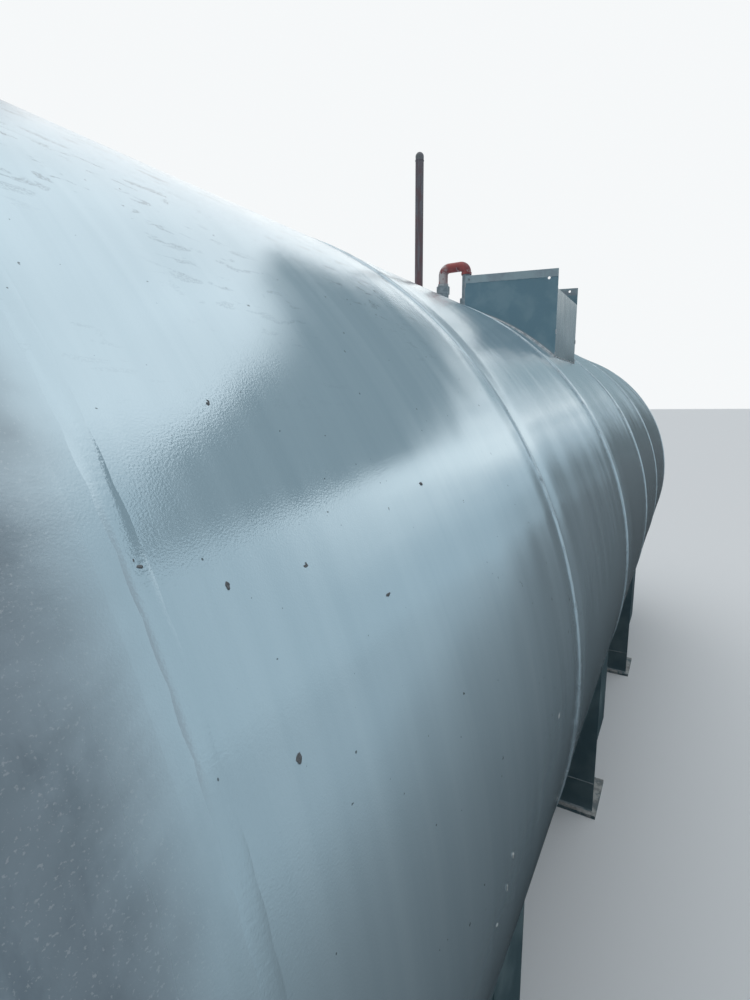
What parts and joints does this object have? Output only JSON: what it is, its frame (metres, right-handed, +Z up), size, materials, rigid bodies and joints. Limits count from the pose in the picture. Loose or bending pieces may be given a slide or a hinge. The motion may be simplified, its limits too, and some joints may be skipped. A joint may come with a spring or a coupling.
{
  "type": "horizontal pressure tank",
  "caption": "Horizontal cylindrical pressure tank with dished heads on three steel saddles, with an open valve box, a vent pipe and a bent bridge pipe on its crown.",
  "frame": {"origin": "on the floor under the middle of the tank's length and width", "axes": "+X along the tank towards its far end, +Y across it away from the valve box, +Z up"},
  "size_m": [7.5632, 2.6058, 3.7441],
  "materials": {
    "shell_paint": "silver semi-gloss tank paint",
    "weld_paint": "silver paint over the weld caps",
    "saddle_paint": "dull blue-grey paint, dusty",
    "box_paint": "blue-grey paint",
    "box_zinc": "galvanised sheet",
    "nozzle_paint": "grey paint",
    "gasket": "black sheet",
    "vent_paint": "brown primer, weathered",
    "fitting_zinc": "galvanised fitting",
    "collar_zinc": "galvanised ring",
    "bend_paint": "worn red paint",
    "drop_zinc": "grey pipe"
  },
  "bodies": {
    "root": {"near_head": "shell_paint", "shell_course_1": "shell_paint", "shell_course_2": "shell_paint", "shell_course_3": "shell_paint", "shell_course_4": "shell_paint", "shell_course_5": "shell_paint", "far_head": "shell_paint", "near_head_weld": "weld_paint", "girth_weld_1": "weld_paint", "girth_weld_2": "weld_paint", "girth_weld_3": "weld_paint", "girth_weld_4": "weld_paint", "far_head_weld": "weld_paint", "long_welds": "weld_paint", "saddle_1_pad": "saddle_paint", "saddle_1_web": "saddle_paint", "saddle_1_base": "saddle_paint", "saddle_1_ribs": "saddle_paint", "saddle_1_horns": "saddle_paint", "saddle_2_pad": "saddle_paint", "saddle_2_web": "saddle_paint", "saddle_2_base": "saddle_paint", "saddle_2_ribs": "saddle_paint", "saddle_2_horns": "saddle_paint", "saddle_3_pad": "saddle_paint", "saddle_3_web": "saddle_paint", "saddle_3_base": "saddle_paint", "saddle_3_ribs": "saddle_paint", "saddle_3_horns": "saddle_paint", "box_front_plate": "box_paint", "box_back_plate": "box_paint", "box_outer_plate": "box_zinc", "box_inner_plate": "box_zinc", "box_nozzle": "nozzle_paint", "box_nozzle_cover": "nozzle_paint", "box_gasket": "gasket", "vent_coupling": "vent_paint", "vent_pipe": "vent_paint", "vent_cap": "vent_paint", "bridge_base": "fitting_zinc", "bridge_collar": "collar_zinc", "bridge_bend": "bend_paint", "bridge_drop": "drop_zinc"}
  },
  "joints": []
}
